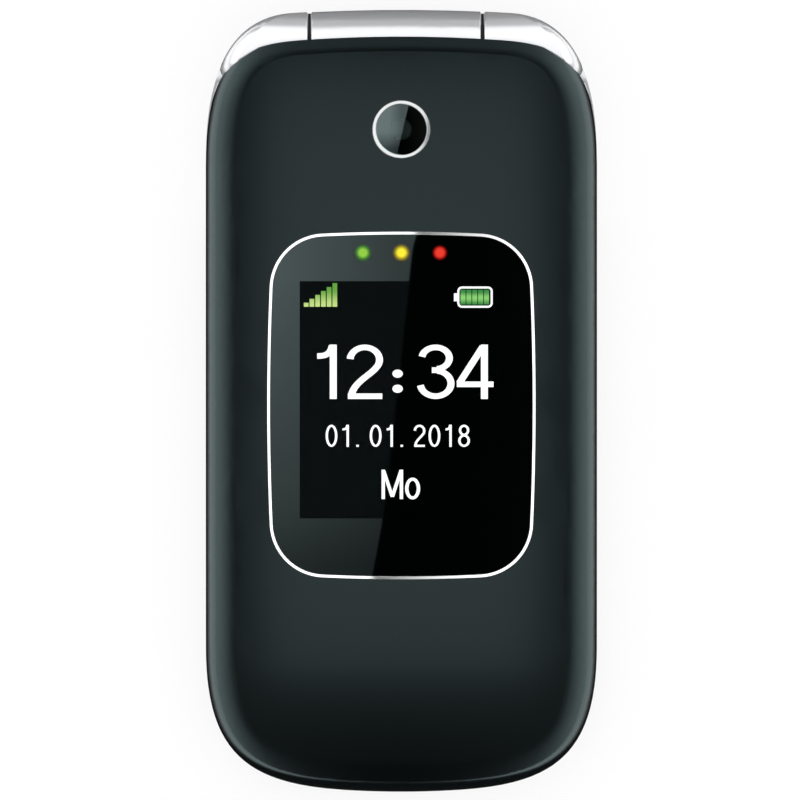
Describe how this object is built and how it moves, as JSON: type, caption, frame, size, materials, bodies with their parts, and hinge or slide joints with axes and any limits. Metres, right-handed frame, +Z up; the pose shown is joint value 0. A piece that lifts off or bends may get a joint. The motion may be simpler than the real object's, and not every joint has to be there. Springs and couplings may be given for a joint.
{
  "type": "flip phone",
  "caption": "Folding mobile phone with a crowned dark lid, outer display window, lid camera, silver hinge ears, large-key pad inside and a slide-off back cover.",
  "frame": {"origin": "middle of the flat back, at the bottom centre of the closed phone", "axes": "+X across the phone, +Y along it towards the hinge, +Z up through the lid"},
  "size_m": [0.054, 0.108, 0.0199],
  "materials": {
    "lid_slate": "dark slate lacquer, satin gloss",
    "silver_shell": "bright silver lacquer on moulded housing",
    "black_panel": "black gloss panel",
    "cover_black": "fine-grained matte back cover",
    "window_glass": "black-printed display window",
    "clear_glass": "clear display window",
    "chrome_trim": "polished ring",
    "display_module": "dark display",
    "circuit_board": "green solder mask",
    "tin_plate": "tin-plated sheet",
    "steel": "plain steel",
    "hinge_black": "blackened hinge pins with their washers",
    "contact_block": "moulded block with gilt contacts",
    "battery_wrap": "dark plain battery wrap",
    "rubber_black": "soft black rubber",
    "rubber_grey": "pale grey rubber",
    "key_black": "black keycap with pale legend",
    "key_green": "keycap with green symbol",
    "key_red": "keycap with red symbol",
    "light_green": "green light pipe",
    "light_yellow": "yellow light pipe",
    "light_red": "red light pipe",
    "flex_film": "amber flexible circuit",
    "camera_black": "black camera housing"
  },
  "bodies": {
    "base": {"base_housing": "silver_shell", "keypad_panel": "black_panel", "main_board": "circuit_board", "dome_sheet": "flex_film", "shield_can": "tin_plate", "microphone": "tin_plate", "battery": "battery_wrap", "battery_contacts": "contact_block", "sim_holder": "tin_plate", "loudspeaker": "camera_black", "vibration_motor": "steel", "charging_socket": "steel", "base_screws": "steel", "base_screw_plugs": "rubber_grey", "hinge_head": "hinge_black", "hinge_bush": "hinge_black"},
    "lid": {"lid_cover": "lid_slate", "lid_inner_housing": "silver_shell", "outer_window": "window_glass", "window_bezel": "chrome_trim", "outer_display": "display_module", "camera_ring": "chrome_trim", "camera_window": "window_glass", "camera_module": "camera_black", "lid_board": "circuit_board", "inner_display": "display_module", "inner_window": "clear_glass", "earpiece": "camera_black", "magnet": "steel", "lid_screws": "steel", "lid_bumpers": "rubber_black", "lid_screw_caps": "rubber_grey", "hinge_cartridge": "steel", "flex_cable": "flex_film", "light_green": "light_green", "light_yellow": "light_yellow", "light_red": "light_red"},
    "battery_cover": {"battery_cover": "cover_black"},
    "volume_rocker": {"volume_rocker": "silver_shell"},
    "key_1": {"key_1": "key_black"},
    "key_2": {"key_2": "key_black"},
    "key_3": {"key_3": "key_black"},
    "key_4": {"key_4": "key_black"},
    "key_5": {"key_5": "key_black"},
    "key_6": {"key_6": "key_black"},
    "key_7": {"key_7": "key_black"},
    "key_8": {"key_8": "key_black"},
    "key_9": {"key_9": "key_black"},
    "key_star": {"key_star": "key_black"},
    "key_0": {"key_0": "key_black"},
    "key_hash": {"key_hash": "key_black"},
    "key_call": {"key_call": "key_green"},
    "key_end": {"key_end": "key_red"},
    "key_left": {"key_left": "key_black"},
    "key_right": {"key_right": "key_black"},
    "key_up": {"key_up": "key_black"},
    "key_down": {"key_down": "key_black"},
    "key_select": {"key_select": "key_black"}
  },
  "joints": [
    {"name": "lid_hinge", "type": "hinge", "parent": "base", "child": "lid", "pos_m": [0, 0.0491, 0.0126], "axis": [-1, 0, 0], "range_deg": [0, 160]},
    {"name": "cover_slide", "type": "slide", "parent": "base", "child": "battery_cover", "axis": [0, -1, 0], "range_m": [0, 0.085]},
    {"name": "volume_tip", "type": "hinge", "parent": "base", "child": "volume_rocker", "pos_m": [-0.02566, 0.014, 0.0074], "axis": [0, 0, 1], "range_deg": [-1.5, 1.5], "stiffness_Nm_per_rad": 0.02},
    {"name": "key_1_press", "type": "slide", "parent": "base", "child": "key_1", "axis": [0, 0, -1], "range_m": [0, 0.0003], "stiffness_N_per_m": 400},
    {"name": "key_2_press", "type": "slide", "parent": "base", "child": "key_2", "axis": [0, 0, -1], "range_m": [0, 0.0003], "stiffness_N_per_m": 400},
    {"name": "key_3_press", "type": "slide", "parent": "base", "child": "key_3", "axis": [0, 0, -1], "range_m": [0, 0.0003], "stiffness_N_per_m": 400},
    {"name": "key_4_press", "type": "slide", "parent": "base", "child": "key_4", "axis": [0, 0, -1], "range_m": [0, 0.0003], "stiffness_N_per_m": 400},
    {"name": "key_5_press", "type": "slide", "parent": "base", "child": "key_5", "axis": [0, 0, -1], "range_m": [0, 0.0003], "stiffness_N_per_m": 400},
    {"name": "key_6_press", "type": "slide", "parent": "base", "child": "key_6", "axis": [0, 0, -1], "range_m": [0, 0.0003], "stiffness_N_per_m": 400},
    {"name": "key_7_press", "type": "slide", "parent": "base", "child": "key_7", "axis": [0, 0, -1], "range_m": [0, 0.0003], "stiffness_N_per_m": 400},
    {"name": "key_8_press", "type": "slide", "parent": "base", "child": "key_8", "axis": [0, 0, -1], "range_m": [0, 0.0003], "stiffness_N_per_m": 400},
    {"name": "key_9_press", "type": "slide", "parent": "base", "child": "key_9", "axis": [0, 0, -1], "range_m": [0, 0.0003], "stiffness_N_per_m": 400},
    {"name": "key_star_press", "type": "slide", "parent": "base", "child": "key_star", "axis": [0, 0, -1], "range_m": [0, 0.0003], "stiffness_N_per_m": 400},
    {"name": "key_0_press", "type": "slide", "parent": "base", "child": "key_0", "axis": [0, 0, -1], "range_m": [0, 0.0003], "stiffness_N_per_m": 400},
    {"name": "key_hash_press", "type": "slide", "parent": "base", "child": "key_hash", "axis": [0, 0, -1], "range_m": [0, 0.0003], "stiffness_N_per_m": 400},
    {"name": "key_call_press", "type": "slide", "parent": "base", "child": "key_call", "axis": [0, 0, -1], "range_m": [0, 0.0003], "stiffness_N_per_m": 400},
    {"name": "key_end_press", "type": "slide", "parent": "base", "child": "key_end", "axis": [0, 0, -1], "range_m": [0, 0.0003], "stiffness_N_per_m": 400},
    {"name": "key_left_press", "type": "slide", "parent": "base", "child": "key_left", "axis": [0, 0, -1], "range_m": [0, 0.0003], "stiffness_N_per_m": 400},
    {"name": "key_right_press", "type": "slide", "parent": "base", "child": "key_right", "axis": [0, 0, -1], "range_m": [0, 0.0003], "stiffness_N_per_m": 400},
    {"name": "key_up_press", "type": "slide", "parent": "base", "child": "key_up", "axis": [0, 0, -1], "range_m": [0, 0.0003], "stiffness_N_per_m": 400},
    {"name": "key_down_press", "type": "slide", "parent": "base", "child": "key_down", "axis": [0, 0, -1], "range_m": [0, 0.0003], "stiffness_N_per_m": 400},
    {"name": "key_select_press", "type": "slide", "parent": "base", "child": "key_select", "axis": [0, 0, -1], "range_m": [0, 0.0003], "stiffness_N_per_m": 400}
  ]
}
